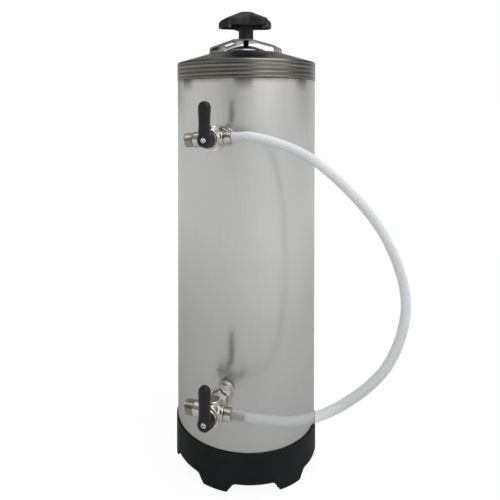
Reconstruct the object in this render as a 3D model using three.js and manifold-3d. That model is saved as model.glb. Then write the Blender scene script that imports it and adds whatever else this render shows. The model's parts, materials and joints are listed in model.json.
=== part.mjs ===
// Manual water softener: a stainless steel resin tank on a moulded boot, with a clamped oval lid,
// two three-way lever valves and a bypass hose between them.
// Millimetres, +Z up. The valves face -Y, their threaded ports face -X and the hose leaves them
// towards +X. Every piece is made round the tank's axis, and at the end the whole part is moved
// so that the origin is on the floor under the middle of its box.
import * as THREE from 'three';
import { mergeVertices } from 'three/addons/utils/BufferGeometryUtils.js';
import Module from 'manifold-3d';

const wasm = await Module();
wasm.setup();

// ---------------------------------------------------------------- driving dimensions
const GAP = 0.3; // clearance kept between neighbouring pieces
const SHEET = 1.2; // wall of the tank and its domes
const PAST = 1; // how far a cutter runs past the faces that it opens

const TANK_R = 92.5;
const SHELL_BOTTOM = 27;
const SHELL_TOP = 499.8;

const SKIRT_R = 93;
const SKIRT_BOTTOM = SHELL_TOP + GAP;
const SKIRT_TOP = 519;
const BEAD_CRESTS = [2.1, 6.8, 12, 16.9]; // heights of the rolled beads above the skirt's lower edge
const BEAD_PROUD = 0.3;
const KNUCKLE_WIDE = 9; // a dome's rounded edge, radially
const KNUCKLE_RISE = 7.2;
const PLATEAU_R = 44.5; // the nearly flat middle of a dome
const PLATEAU_RISE = 19.2;
const CROWN_RISE = 20;
const SOCKET_HOLE_R = 8.3;

const BOOT_R = 94.3;
const BOOT_TOP = 49;
const BOOT_WEB = 3; // thickness of the web that carries the tank
const WEB_GAP = 1.2; // between the web and the bottom dome, measured downwards
const WEB_INNER_R = 62;
const FOOT_DEPTH = 5.8; // how thick a foot is, radially
const FOOT_COUNT = 6;
const FIRST_NOTCH_DEG = 22; // from -Y towards +X
const NOTCH_TOP = 11.5;
const NOTCH_HALF_TOP = 24.8;
const NOTCH_HALF_FLOOR = 33.4;

const OPENING_R = 28; // half the oval opening's width, along X
const OVAL = 1.3; // length of the opening and the lid along Y, over their width
const LID_BOSS_R = 26.9;
const LID_FLANGE_R = 33.5;
const LID_FLANGE_TOP = 534.1;
const LID_SHOULDER_R = 22;
const LID_CROWN_R = 12;
const LID_RIM_Z = 541.2;
const LID_TOP = 548.6;
const LID_SHEET = 1.5;
const GASKET_THICK = 2.5;

const STUD_R = 4; // M8 stud, 1.25 pitch
const STUD_TOP = 567;
const STUD_HEAD_R = 7;
const BRIDGE_TOP = 555.2;
const BRIDGE_SHEET = 2;
const BRIDGE_HALF_WIDTH = 21;
const BRIDGE_FLAT_HALF = 12;
const BRIDGE_BEND = { x: 45.5, z: 544.9 }; // where an arm turns down into a leg
const LEG_LEAN = 1.5; // how far a leg spreads on its way down
const WINDOW = { from: 16.5, to: 31, halfWidth: 10 }; // opening in each arm of the bridge
const EYE = { x: 37.5, y: -15.5, r: 1.8 };

const KNOB_LOBES = 5;
const KNOB_TURN = (42 * Math.PI) / 180; // from +X to the first lobe
const KNOB_TOP = 593;
const KNOB_SKIRT = 572.3;
const KNOB_R = 38;
const KNOB_VALLEY = 12.5; // how far the rim draws in between two lobes
const KNOB_WALL = 6.5; // height of the rim's upright wall
const KNOB_CROWN_R = 11;
const KNOB_HOLLOW_R = 22;
const HUB_R = 10;
const INSERT_R = 6;
const INSERT_TOP = 573;

const VALVE_HEIGHTS = { lower: 122.4, upper: 430 };
// How far each valve is turned on its own axis, hose side up.
const VALVE_ROLL = { lower: 0, upper: (4.3 * Math.PI) / 180 };
const CROSS_OUT = 136.2; // tank axis to the crossbar of a valve
const LEVER_FACE = 167; // tank axis to the front face of a lever
const LEVER_REACH = 42; // pivot to lever tip
const PORT_R = 8.33; // G3/8 male thread
const PORT_END = 32.3;
const TAIL_SHOULDER_END = 23;
const PORT_SHOULDER_R = 9;
const PORT_SHOULDER_END = 21.3;
const THREAD_DEPTH = 0.9;
const SIDE_BOSS_R = 8.5; // the closed bosses above and below, and the one on the hose side
const CLOSED_BOSS_END = 14.4;
const BARREL_R = 11;
const BORE_R = 4.5; // waterway through the valve
const BALL_R = 8.5;
const BALL_BORE_R = 4;
const STEM_R = 3.2;
const STEM_FLANGE_R = 5;
const SOCKET_BORE_R = 6.9;
const SPIGOT_R = SOCKET_BORE_R - GAP - 0.1;
const NUT_FLATS = 23; // across the flats
const SHANK_FLATS = 19;

const HOSE_R = 5.5;
const HOSE_BORE_R = 4.2;
const HOSE_START = TAIL_SHOULDER_END + GAP;
const RESIN_TOP = 405;

const FINE = 42; // facets round the tank
const SMALL = 16; // facets round a fitting
const OVAL_SIDES = 28; // facets round the lid and its opening
const COARSE = 10; // facets round a screw or a small hole

// ---------------------------------------------------------------- materials
const finish = (color, roughness, metalness) =>
  new THREE.MeshStandardMaterial({ color, roughness, metalness });
const STAINLESS = finish(0xc4c4be, 0.35, 1);
const POLISHED = finish(0x9a9c9e, 0.2, 1);
const NICKEL = finish(0xb9b3a6, 0.25, 1);
const CHROME = finish(0xd8d8d8, 0.1, 1);
const BRASS = finish(0xb08d46, 0.35, 1);
const BLACK_STEEL = finish(0x26262a, 0.45, 0.8);
const BLACK_PLASTIC = finish(0x141416, 0.45, 0);
const BOOT_PLASTIC = finish(0x1b1b1d, 0.7, 0);
const RUBBER = finish(0x161616, 0.85, 0);
const SEAT_PLASTIC = finish(0xf2f1ec, 0.5, 0);
const HOSE_PLASTIC = finish(0xdde1e4, 0.35, 0);
const RESIN = finish(0x8a5a24, 0.8, 0);

// ---------------------------------------------------------------- solids
/** A closed geometry as a solid: vertices merged, triangles without area left out. */
function toSolid(geometry) {
  const bare = geometry.clone();
  bare.deleteAttribute('normal');
  bare.deleteAttribute('uv');
  const merged = mergeVertices(bare, 1e-4);
  const corners = merged.index.array;
  const kept = [];
  for (let i = 0; i < corners.length; i += 3) {
    const [a, b, c] = corners.slice(i, i + 3);
    if (a !== b && b !== c && c !== a) kept.push(a, b, c);
  }
  const mesh = new wasm.Mesh({
    numProp: 3,
    vertProperties: merged.attributes.position.array,
    triVerts: Uint32Array.from(kept),
  });
  return new wasm.Manifold(mesh);
}

/** A solid as a geometry that a mesh can show. */
function toGeometry(solid) {
  const mesh = solid.getMesh();
  const geometry = new THREE.BufferGeometry();
  const positions = Float32Array.from(mesh.vertProperties);
  geometry.setAttribute('position', new THREE.BufferAttribute(positions, 3));
  geometry.setIndex(new THREE.BufferAttribute(Uint32Array.from(mesh.triVerts), 1));
  geometry.computeVertexNormals();
  return geometry;
}

const lathe = (profile, sides, turn = 0) =>
  new THREE.LatheGeometry(profile.map(([r, h]) => new THREE.Vector2(r, h)), sides, turn);

// A profile is a list of [radius, distance along the axis], anticlockwise with the radius to the right.
/** Turned about +Z. */
const upright = (profile, sides = SMALL, turn = 0) =>
  toSolid(lathe(profile, sides, turn).rotateX(Math.PI / 2));
/** Turned about the valve's own axis: the distance runs out from the tank's axis, along -Y. */
const outward = (profile, sides = SMALL, turn = 0) =>
  toSolid(lathe(profile, sides, turn).rotateZ(Math.PI));
/** Turned about a valve's crossbar: side 1 runs to the hose, along +X, and side -1 to the port. */
const sideways = (profile, side, sides = SMALL) =>
  toSolid(lathe(profile, sides).rotateZ((-side * Math.PI) / 2).translate(0, -CROSS_OUT, 0));

/** The profile of a plain cylinder. */
const rod = (radius, from, to) => [[0, from], [radius, from], [radius, to], [0, to]];
/** The profile of a ring, which closes on itself. */
const ring = (inner, outer, from, to) =>
  [[inner, from], [outer, from], [outer, to], [inner, to], [inner, from]];
const hexagonRadius = (acrossFlats) => acrossFlats / Math.sqrt(3);
const FLAT_ON_TOP = Math.PI / 6; // turn that puts a hexagon's flat on top

/** A box between two corners. */
function block([x0, y0, z0], [x1, y1, z1]) {
  const box = new THREE.BoxGeometry(x1 - x0, y1 - y0, z1 - z0);
  return toSolid(box.translate((x0 + x1) / 2, (y0 + y1) / 2, (z0 + z1) / 2));
}

/** The outline through the given corners, as a shape. */
const outline = (corners) => new THREE.Shape(corners.map(([x, y]) => new THREE.Vector2(x, y)));
const extrude = (shape, depth, curveSegments = 8) =>
  new THREE.ExtrudeGeometry(shape, { depth, bevelEnabled: false, curveSegments });

/** A dome's profile moved inwards by a sheet's thickness, in reverse order. The rim stays level. */
function innerSkin(profile, sheet) {
  const moved = profile.map(([r, z], i) => {
    if (i === 0) return [r - sheet, z];
    const [r0, z0] = profile[i - 1];
    const [r1, z1] = profile[Math.min(i + 1, profile.length - 1)];
    const length = Math.hypot(r1 - r0, z1 - z0);
    return [r === 0 ? 0 : r - ((z1 - z0) / length) * sheet, z + ((r1 - r0) / length) * sheet];
  });
  return moved.reverse();
}

// ---------------------------------------------------------------- tank
/** Outer profile of a dome from its rim to the axis: a rounded edge, a cone and a nearly flat middle. */
function domeProfile(rimR, rimZ) {
  const rim = new THREE.Vector2(rimR, rimZ);
  const control = new THREE.Vector2(rimR, rimZ + KNUCKLE_RISE * 0.55);
  const coneFoot = new THREE.Vector2(rimR - KNUCKLE_WIDE, rimZ + KNUCKLE_RISE);
  const knuckle = new THREE.QuadraticBezierCurve(rim, control, coneFoot).getPoints(3);
  return [...knuckle.map(({ x, y }) => [x, y]), [PLATEAU_R, rimZ + PLATEAU_RISE], [0, rimZ + CROWN_RISE]];
}

function tankShell() {
  let shell = upright(ring(TANK_R - SHEET, TANK_R, SHELL_BOTTOM, SHELL_TOP), FINE);
  for (const height of Object.values(VALVE_HEIGHTS)) {
    const hole = outward(rod(SOCKET_HOLE_R, TANK_R - 6, TANK_R + PAST)).translate(0, 0, height);
    shell = shell.subtract(hole);
  }
  return shell;
}

/** The top dome, its beaded skirt and its oval opening. */
function topDome() {
  const beads = [];
  BEAD_CRESTS.forEach((rise, i) => {
    beads.push([SKIRT_R + BEAD_PROUD, SKIRT_BOTTOM + rise]);
    const next = BEAD_CRESTS[i + 1];
    if (next) beads.push([SKIRT_R - BEAD_PROUD, SKIRT_BOTTOM + (rise + next) / 2]);
  });
  const outside = [[SKIRT_R, SKIRT_BOTTOM], ...beads, ...domeProfile(SKIRT_R, SKIRT_TOP)];
  const skirtInside = SKIRT_R - BEAD_PROUD - SHEET;
  const inside = innerSkin(domeProfile(skirtInside + SHEET, SKIRT_TOP), SHEET);
  const profile = [...outside, ...inside, [skirtInside, SKIRT_BOTTOM], outside[0]];
  const opening = upright(rod(OPENING_R, SKIRT_TOP, LID_TOP), OVAL_SIDES).scale([1, OVAL, 1]);
  return upright(profile, FINE).subtract(opening);
}

function bottomDome() {
  const outside = domeProfile(TANK_R, -SHELL_BOTTOM + GAP);
  const profile = [...outside, ...innerSkin(outside, SHEET), outside[0]];
  return upright(profile, FINE).rotate([180, 0, 0]);
}

/** The moulded boot: a sleeve round the tank, a web under its dome, and feet left between notches. */
function baseBoot() {
  const sleeveInside = TANK_R + GAP + 0.1;
  const footInside = BOOT_R - FOOT_DEPTH;
  const coneFootZ = SHELL_BOTTOM - KNUCKLE_RISE - WEB_GAP;
  const coneSlope = (PLATEAU_RISE - KNUCKLE_RISE) / (TANK_R - KNUCKLE_WIDE - PLATEAU_R);
  const coneFootR = TANK_R - KNUCKLE_WIDE + GAP;
  const webInnerZ = coneFootZ - coneSlope * (coneFootR - WEB_INNER_R);
  const webTop = [[sleeveInside, coneFootZ + 1], [coneFootR, coneFootZ], [WEB_INNER_R, webInnerZ]];
  const webUnder = webTop.slice(1).reverse().map(([r, z]) => [r, z - BOOT_WEB]);
  const profile = [
    [footInside, 0], [BOOT_R, 0], [BOOT_R, BOOT_TOP], [sleeveInside, BOOT_TOP],
    ...webTop, ...webUnder, [footInside, coneFootZ - BOOT_WEB], [footInside, 0],
  ];
  const trapezoid = outline([
    [-NOTCH_HALF_FLOOR - PAST, -PAST], [NOTCH_HALF_FLOOR + PAST, -PAST],
    [NOTCH_HALF_TOP, NOTCH_TOP], [-NOTCH_HALF_TOP, NOTCH_TOP],
  ]);
  const notch = toSolid(extrude(trapezoid, BOOT_R).rotateX(Math.PI / 2).translate(0, 5 - footInside, 0));
  let boot = upright(profile, FINE);
  for (let i = 0; i < FOOT_COUNT; i++) {
    boot = boot.subtract(notch.rotate([0, 0, FIRST_NOTCH_DEG + (360 / FOOT_COUNT) * i]));
  }
  return boot;
}

/** The bed of beads up to its level, with room for the lower strainer. */
function resinBed() {
  const bed = upright(rod(TANK_R - SHEET - 2 * GAP, SHELL_BOTTOM + PAST, RESIN_TOP), FINE);
  const room = outward(rod(STRAINER_R + 0.7, STRAINER_END - 2, TANK_R + PAST), COARSE);
  return bed.subtract(room.translate(0, 0, VALVE_HEIGHTS.lower));
}

// ---------------------------------------------------------------- closure
/** The oval lid: a flange under the opening, and a boss that domes up through it. */
function lid() {
  const bossInside = LID_BOSS_R - LID_SHEET;
  const shoulderZ = LID_RIM_Z + 2.2;
  const profile = [
    [0, LID_TOP - LID_SHEET], [LID_SHOULDER_R - 1, shoulderZ - LID_SHEET],
    [bossInside, LID_RIM_Z - LID_SHEET], [bossInside, LID_FLANGE_TOP - LID_SHEET],
    [LID_FLANGE_R, LID_FLANGE_TOP - LID_SHEET], [LID_FLANGE_R, LID_FLANGE_TOP],
    [LID_BOSS_R, LID_FLANGE_TOP], [LID_BOSS_R, LID_RIM_Z],
    [LID_SHOULDER_R, shoulderZ], [LID_CROWN_R, LID_TOP - 1.6], [0, LID_TOP],
  ];
  const oval = upright(profile, OVAL_SIDES).scale([1, OVAL, 1]);
  return oval.subtract(upright(rod(STUD_R + GAP, LID_RIM_Z, LID_TOP + PAST), COARSE));
}

/** The oval ring that the lid presses up against the dome. */
function lidGasket() {
  const from = LID_FLANGE_TOP + GAP;
  const section = ring(LID_BOSS_R + GAP, LID_FLANGE_R - GAP, from, from + GASKET_THICK);
  return upright(section, OVAL_SIDES).scale([1, OVAL, 1]);
}

/** The stud, with its head under the lid. */
function lidStud() {
  const headTop = LID_TOP - 4.2;
  const headBottom = headTop - 3;
  return upright([
    [0, headBottom], [STUD_HEAD_R, headBottom], [STUD_HEAD_R, headTop], [STUD_R, headTop],
    [STUD_R, STUD_TOP - 1], [STUD_R - 1, STUD_TOP], [0, STUD_TOP],
  ], COARSE);
}

/** The folded sheet bridge: a flat middle, two sloping arms with windows, and two legs that are cut
 *  to the dome they stand on. */
function bridgeClamp() {
  const footX = BRIDGE_BEND.x + LEG_LEAN;
  const footZ = SKIRT_TOP + KNUCKLE_RISE;
  const right = [
    [BRIDGE_FLAT_HALF, BRIDGE_TOP], [BRIDGE_BEND.x, BRIDGE_BEND.z], [footX, footZ],
    [footX - BRIDGE_SHEET, footZ], [BRIDGE_BEND.x - BRIDGE_SHEET, BRIDGE_BEND.z - BRIDGE_SHEET * 0.8],
    [BRIDGE_FLAT_HALF - 0.4, BRIDGE_TOP - BRIDGE_SHEET],
  ];
  const left = right.map(([x, z]) => [-x, z]).reverse();
  const sheet = extrude(outline([...left, ...right]), 2 * BRIDGE_HALF_WIDTH);
  let bridge = toSolid(sheet.rotateX(Math.PI / 2).translate(0, BRIDGE_HALF_WIDTH, 0));
  bridge = bridge.subtract(upright(rod(STUD_R + 0.6, LID_TOP, BRIDGE_TOP + PAST), COARSE));
  const { from, to, halfWidth } = WINDOW;
  const window = block([from, -halfWidth, LID_TOP - 4], [to, halfWidth, BRIDGE_TOP]);
  const eye = upright(rod(EYE.r, LID_TOP - 6, BRIDGE_TOP), COARSE).translate(EYE.x, EYE.y, 0);
  for (const turn of [0, 180]) {
    bridge = bridge.subtract(window.add(eye).rotate([0, 0, turn]));
  }
  const dome = domeProfile(SKIRT_R, SKIRT_TOP + GAP + 0.1);
  return bridge.subtract(upright([[0, SKIRT_TOP], ...dome], FINE));
}

/** The star wheel and its hub, hollow underneath, with a socket for the threaded insert. */
function knob() {
  const wallTop = KNOB_SKIRT + KNOB_WALL;
  const crown = upright([
    [0, KNOB_SKIRT], [KNOB_R, KNOB_SKIRT], [KNOB_R, wallTop], [KNOB_R - 2.5, wallTop + 3],
    [KNOB_CROWN_R, KNOB_TOP - 1], [KNOB_CROWN_R - 2, KNOB_TOP], [0, KNOB_TOP],
  ], 48);
  const rim = [];
  const steps = KNOB_LOBES * 10;
  for (let i = 0; i < steps; i++) {
    const angle = (2 * Math.PI * i) / steps;
    const radius = KNOB_R - (KNOB_VALLEY / 2) * (1 - Math.cos(KNOB_LOBES * (angle - KNOB_TURN)));
    rim.push([radius * Math.cos(angle), radius * Math.sin(angle)]);
  }
  const prism = extrude(outline(rim), KNOB_TOP - KNOB_SKIRT + 2 * PAST);
  const star = toSolid(prism.translate(0, 0, KNOB_SKIRT - PAST));
  const hollow = upright([
    [HUB_R + 2, KNOB_SKIRT - PAST], [KNOB_HOLLOW_R, KNOB_SKIRT - PAST], [KNOB_HOLLOW_R, wallTop],
    [HUB_R + 2, wallTop + 6], [HUB_R + 2, KNOB_SKIRT - PAST],
  ]);
  const hub = upright(rod(HUB_R, BRIDGE_TOP + GAP, KNOB_TOP - 8));
  const socket = upright(rod(INSERT_R + GAP, BRIDGE_TOP, INSERT_TOP + GAP), COARSE);
  return crown.intersect(star).subtract(hollow).add(hub).subtract(socket);
}

/** Brass bush with the thread that runs on the stud. */
const knobInsert = () => upright(ring(STUD_R + GAP, INSERT_R, BRIDGE_TOP + 1, INSERT_TOP), COARSE);

// ---------------------------------------------------------------- valve pieces, from the tank outwards
// Distances out from the tank's axis, along -Y.
const STRAINER_END = 40;
const STRAINER_R = 9.3;
const SOCKET_INNER_END = 84;
const SOCKET_FACE = 99.8;
const SEAL_OUT = SOCKET_FACE + GAP;
const NUT_OUT = SEAL_OUT + 1 + GAP;
const NUT_END = NUT_OUT + 10.7;
const SHANK_OUT = NUT_END + GAP;
const SPIGOT_END = 94;
const BARREL_OUT = 124;
const BARREL_END = 149;
const CAVITY_R = BALL_R + 0.5;
const SEAT_R = 6.3;
const SLOT_OUT = CROSS_OUT + BALL_R - 2.4; // floor of the slot that the stem drives
const STEM_FLANGE = CROSS_OUT + BALL_R + GAP;
const BONNET_R = 9.2;
const BONNET_INNER = 145.4;
const BONNET_END = 152.6;
const SEAL_POCKET_R = 5.3;
const HUB_OUT = BONNET_END + GAP;
const SQUARE_OUT = 154.5;
const STEM_END = 160.2;
const HEAD_OUT = 164;
// Distances from a valve's own axis, along its crossbar.
const BALL_SEAT_X = 7.6;
const SEAT_END = 10.9;
const TAIL_SEAT = 12;
const BODY_SIDE_END = 14.2;
const BARB_END = 38;

/** Slotted tube on the inner end of the socket, which keeps the resin in the tank. */
function strainer() {
  const bore = STRAINER_R - 1;
  const outerEnd = 89.6;
  let tube = outward([
    [0, STRAINER_END], [STRAINER_R, STRAINER_END], [STRAINER_R, outerEnd], [bore, outerEnd],
    [bore, STRAINER_END + 2], [0, STRAINER_END + 2],
  ]);
  for (const slotOut of [50, 60, 70]) {
    tube = tube.subtract(block([-11, -slotOut - 1.4, -5.5], [11, -slotOut, 5.5]));
  }
  return tube;
}

/** Boss welded through the tank wall. */
function tankSocket() {
  const neck = 8;
  const boss = 10.5;
  const bossFoot = TANK_R + 0.4;
  return outward([
    [SOCKET_BORE_R, SOCKET_INNER_END], [neck, SOCKET_INNER_END], [neck, bossFoot], [boss, bossFoot],
    [boss, SOCKET_FACE], [SOCKET_BORE_R, SOCKET_FACE], [SOCKET_BORE_R, SOCKET_INNER_END],
  ]);
}

const socketSeal = () => outward(ring(SOCKET_BORE_R, 10, SEAL_OUT, SEAL_OUT + 1));

/** Hexagon nut on the spigot. */
const backNut = () => outward(rod(hexagonRadius(NUT_FLATS), NUT_OUT, NUT_END), 6, FLAT_ON_TOP)
  .subtract(outward(rod(SOCKET_BORE_R, NUT_OUT - PAST, NUT_END + PAST)));

/** Forged cross body: threaded port, hose side, two closed bosses, hexagon shank and spigot. */
function valveBody() {
  const root = PORT_R - THREAD_DEPTH;
  const port = [
    [0, 0], [PORT_SHOULDER_R, 0], [PORT_SHOULDER_R, PORT_SHOULDER_END], [root, PORT_SHOULDER_END],
    [root, PORT_SHOULDER_END + 1], [PORT_R, PORT_SHOULDER_END + 1.7], [PORT_R, PORT_END - 0.8],
    [PORT_R - 0.8, PORT_END], [0, PORT_END],
  ];
  const closedBosses = upright(rod(SIDE_BOSS_R, -CLOSED_BOSS_END, CLOSED_BOSS_END));
  const shank = rod(hexagonRadius(SHANK_FLATS), SHANK_OUT, BARREL_OUT + PAST);
  const cross = outward(rod(BARREL_R, BARREL_OUT, BARREL_END))
    .add(closedBosses.translate(0, -CROSS_OUT, 0))
    .add(sideways(port, -1))
    .add(sideways(rod(SIDE_BOSS_R, 0, BODY_SIDE_END), 1))
    .add(outward(shank, 6, FLAT_ON_TOP))
    .add(outward(rod(SPIGOT_R, SPIGOT_END, SHANK_OUT + PAST)));
  const seatPocket = rod(SEAT_R + GAP, 0, SEAT_END + GAP);
  return cross
    .subtract(outward(rod(BORE_R, SPIGOT_END - PAST, CROSS_OUT)))
    .subtract(outward(rod(CAVITY_R, CROSS_OUT - CAVITY_R, BARREL_END + PAST)))
    .subtract(sideways(rod(BORE_R, 0, PORT_END + PAST), -1))
    .subtract(sideways(rod(BORE_R, 0, BODY_SIDE_END + PAST), 1))
    .subtract(sideways(seatPocket, -1))
    .subtract(sideways(seatPocket, 1))
    .subtract(sideways(rod(SEAT_R + GAP, TAIL_SEAT, BODY_SIDE_END + PAST), 1));
}

/** Plastic ring that the ball turns against. */
const seat = (side) => sideways(ring(BORE_R, SEAT_R, BALL_SEAT_X, SEAT_END), side);

/** Ball with one bore along its axis to the tank and one across, and a slot for the stem. */
function ball() {
  const sphere = toSolid(new THREE.SphereGeometry(BALL_R, 16, 8).translate(0, -CROSS_OUT, 0));
  const across = upright(rod(BALL_BORE_R, 0, BALL_R + PAST), COARSE).translate(0, -CROSS_OUT, 0);
  const back = outward(rod(BALL_BORE_R, CROSS_OUT - BALL_R - PAST, CROSS_OUT + 0.5), COARSE);
  const slot = block([-4.3, -CROSS_OUT - BALL_R - PAST, -1.4], [4.3, -SLOT_OUT, 1.4]);
  return sphere.subtract(across).subtract(back).subtract(slot);
}

/** Stem: tongue in the ball, flange under the bonnet, shaft, and a square that drives the lever. */
function stem() {
  const flangeEnd = STEM_FLANGE + 1.8;
  const shaft = outward([
    [0, STEM_FLANGE], [STEM_FLANGE_R, STEM_FLANGE], [STEM_FLANGE_R, flangeEnd], [STEM_R, flangeEnd],
    [STEM_R, SQUARE_OUT], [0, SQUARE_OUT],
  ], COARSE);
  const tongue = block([-4, -STEM_FLANGE - 0.5, -1.1], [4, -SLOT_OUT - GAP, 1.1]);
  const square = block([-2.3, -STEM_END, -2.3], [2.3, 0.5 - SQUARE_OUT, 2.3]);
  const thread = outward(rod(1.6, 157, STEM_END + PAST), COARSE);
  return shaft.add(tongue).add(square).subtract(thread);
}

/** Screwed bonnet that closes the cavity and holds the stem seal. */
function bonnet() {
  const plug = CAVITY_R - GAP;
  const flangeOut = BARREL_END + GAP;
  const inner = BONNET_INNER - PAST;
  const outside = outward([
    [0, BONNET_INNER], [plug, BONNET_INNER], [plug, flangeOut], [BONNET_R, flangeOut],
    [BONNET_R, BONNET_END - 0.6], [BONNET_R - 0.6, BONNET_END], [0, BONNET_END],
  ]);
  return outside
    .subtract(outward(rod(STEM_R + GAP, inner, BONNET_END + PAST), COARSE))
    .subtract(outward(rod(SEAL_POCKET_R, inner, STEM_FLANGE + 2.2), COARSE))
    .subtract(outward(rod(SEAL_POCKET_R, BARREL_END, BONNET_END + PAST), COARSE));
}

const stemSeal = () =>
  outward(ring(STEM_R + GAP, SEAL_POCKET_R - GAP, BARREL_END + GAP, BONNET_END - 0.6), COARSE);

/** Lever: a flared hub and a blade with a round tip, pointing up. */
function lever() {
  const hubR = { back: 9.7, waist: 7.4, front: 6.8 };
  const tipR = 6.8;
  const waist = { halfWidth: 6.1, z: 18 };
  const thick = 7;
  const hub = outward([
    [0, HUB_OUT], [hubR.back, HUB_OUT], [hubR.back, HUB_OUT + 3], [hubR.waist, LEVER_FACE - 0.8],
    [hubR.front, LEVER_FACE], [0, LEVER_FACE],
  ]);
  const blade = new THREE.Shape();
  blade.moveTo(-hubR.front, 0);
  blade.lineTo(hubR.front, 0);
  blade.lineTo(waist.halfWidth, waist.z);
  blade.lineTo(tipR, LEVER_REACH - tipR);
  blade.absarc(0, LEVER_REACH - tipR, tipR, 0, Math.PI, false);
  blade.lineTo(-waist.halfWidth, waist.z);
  const arm = toSolid(extrude(blade, thick, 6).rotateX(Math.PI / 2).translate(0, thick - LEVER_FACE, 0));
  return hub.add(arm)
    .subtract(block([-2.6, -STEM_END - GAP, -2.6], [2.6, -HUB_OUT + PAST, 2.6]))
    .subtract(outward(rod(STEM_R + GAP, HUB_OUT - PAST, SQUARE_OUT + GAP), COARSE))
    .subtract(outward(rod(1.9, STEM_END, HEAD_OUT), COARSE))
    .subtract(outward(rod(3.6, HEAD_OUT - GAP, LEVER_FACE + PAST), COARSE));
}

/** Socket head screw, with its hexagon socket. */
function leverScrew() {
  const shankR = 1.3;
  const headR = 3.3;
  const headEnd = LEVER_FACE - 0.2;
  return outward([
    [0, 157.5], [shankR, 157.5], [shankR, HEAD_OUT], [headR, HEAD_OUT], [headR, headEnd - 0.3],
    [headR - 0.3, headEnd], [0, headEnd],
  ], COARSE).subtract(outward(rod(1.5, headEnd - 1.8, LEVER_FACE), 6));
}

/** Hose tail: spigot in the body, plain shoulder and two barbs inside the hose. */
function hoseTail() {
  const bore = 2.4;
  const shoulder = 7.5;
  const neck = 3.5;
  const barb = 3.9;
  return sideways([
    [bore, TAIL_SEAT + GAP], [SEAT_R, TAIL_SEAT + GAP], [SEAT_R, BODY_SIDE_END + GAP],
    [shoulder, BODY_SIDE_END + GAP], [shoulder, TAIL_SHOULDER_END], [neck, TAIL_SHOULDER_END],
    [barb, 29], [neck, 29], [barb, 34], [neck - 0.4, BARB_END], [bore, BARB_END], [bore, TAIL_SEAT + GAP],
  ], 1);
}

// ---------------------------------------------------------------- hose
/** The hose leaves both tails along +X, swings back towards the tank's side and hangs in one bow. */
function bypassHose() {
  const swing = (x) => {
    const past = Math.max(0, x - 40);
    return -CROSS_OUT + (0.42 * past * past) / (past + 45);
  };
  const overBarbs = (side) => [0, 9, 20].map((past) => [
    (HOSE_START + past) * Math.cos(VALVE_ROLL[side]),
    VALVE_HEIGHTS[side] + (HOSE_START + past) * Math.sin(VALVE_ROLL[side]),
  ]);
  const bow = [[97, 416], [146, 375], [187.8, 316], [206, 247], [188, 183], [145, 142]];
  const route = [
    ...overBarbs('upper'), ...bow, [97, VALVE_HEIGHTS.lower], ...overBarbs('lower').reverse(),
  ];
  const path = new THREE.CatmullRomCurve3(route.map(([x, z]) => new THREE.Vector3(x, swing(x), z)));
  const section = new THREE.Shape().absarc(0, 0, HOSE_R, 0, 2 * Math.PI, false);
  section.holes.push(new THREE.Path().absarc(0, 0, HOSE_BORE_R, 0, 2 * Math.PI, true));
  const sweep = { steps: 28, curveSegments: 5, extrudePath: path };
  return toSolid(new THREE.ExtrudeGeometry(section, sweep));
}

// ---------------------------------------------------------------- assembly
const softener = new THREE.Group();

function addPiece(group, name, solid, material) {
  const mesh = new THREE.Mesh(toGeometry(solid), material);
  mesh.name = name;
  group.add(mesh);
}

function addValve(side) {
  const fixed = {
    strainer: [strainer(), STAINLESS],
    tank_socket: [tankSocket(), STAINLESS],
    socket_seal: [socketSeal(), RUBBER],
    back_nut: [backNut(), NICKEL],
    valve_body: [valveBody(), NICKEL],
    port_seat: [seat(-1), SEAT_PLASTIC],
    hose_seat: [seat(1), SEAT_PLASTIC],
    bonnet: [bonnet(), NICKEL],
    stem_seal: [stemSeal(), RUBBER],
    hose_tail: [hoseTail(), NICKEL],
  };
  const turning = { // these stand with the lever, which is upright in both valves
    valve_ball: [ball(), CHROME],
    stem: [stem(), NICKEL],
    lever: [lever(), BLACK_PLASTIC],
    lever_screw: [leverScrew(), CHROME],
  };
  for (const [pieces, roll] of [[fixed, VALVE_ROLL[side]], [turning, 0]]) {
    const group = new THREE.Group();
    group.position.z = VALVE_HEIGHTS[side];
    group.rotation.y = -roll;
    for (const [name, [solid, material]] of Object.entries(pieces)) {
      addPiece(group, `${side}_${name}`, solid, material);
    }
    softener.add(group);
  }
}

addPiece(softener, 'tank_shell', tankShell(), STAINLESS);
addPiece(softener, 'top_dome', topDome(), POLISHED);
addPiece(softener, 'bottom_dome', bottomDome(), STAINLESS);
addPiece(softener, 'base_boot', baseBoot(), BOOT_PLASTIC);
addPiece(softener, 'resin_bed', resinBed(), RESIN);
addPiece(softener, 'lid', lid(), POLISHED);
addPiece(softener, 'lid_gasket', lidGasket(), RUBBER);
addPiece(softener, 'lid_stud', lidStud(), BLACK_STEEL);
addPiece(softener, 'bridge_clamp', bridgeClamp(), POLISHED);
addPiece(softener, 'knob', knob(), BLACK_PLASTIC);
addPiece(softener, 'knob_insert', knobInsert(), BRASS);
addPiece(softener, 'bypass_hose', bypassHose(), HOSE_PLASTIC);
addValve('lower');
addValve('upper');

const box = new THREE.Box3().setFromObject(softener, true);
softener.position.set(-(box.min.x + box.max.x) / 2, -(box.min.y + box.max.y) / 2, 0);

export default softener;
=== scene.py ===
import json
import math

import bmesh
import bpy
from mathutils import Matrix, Vector

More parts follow.
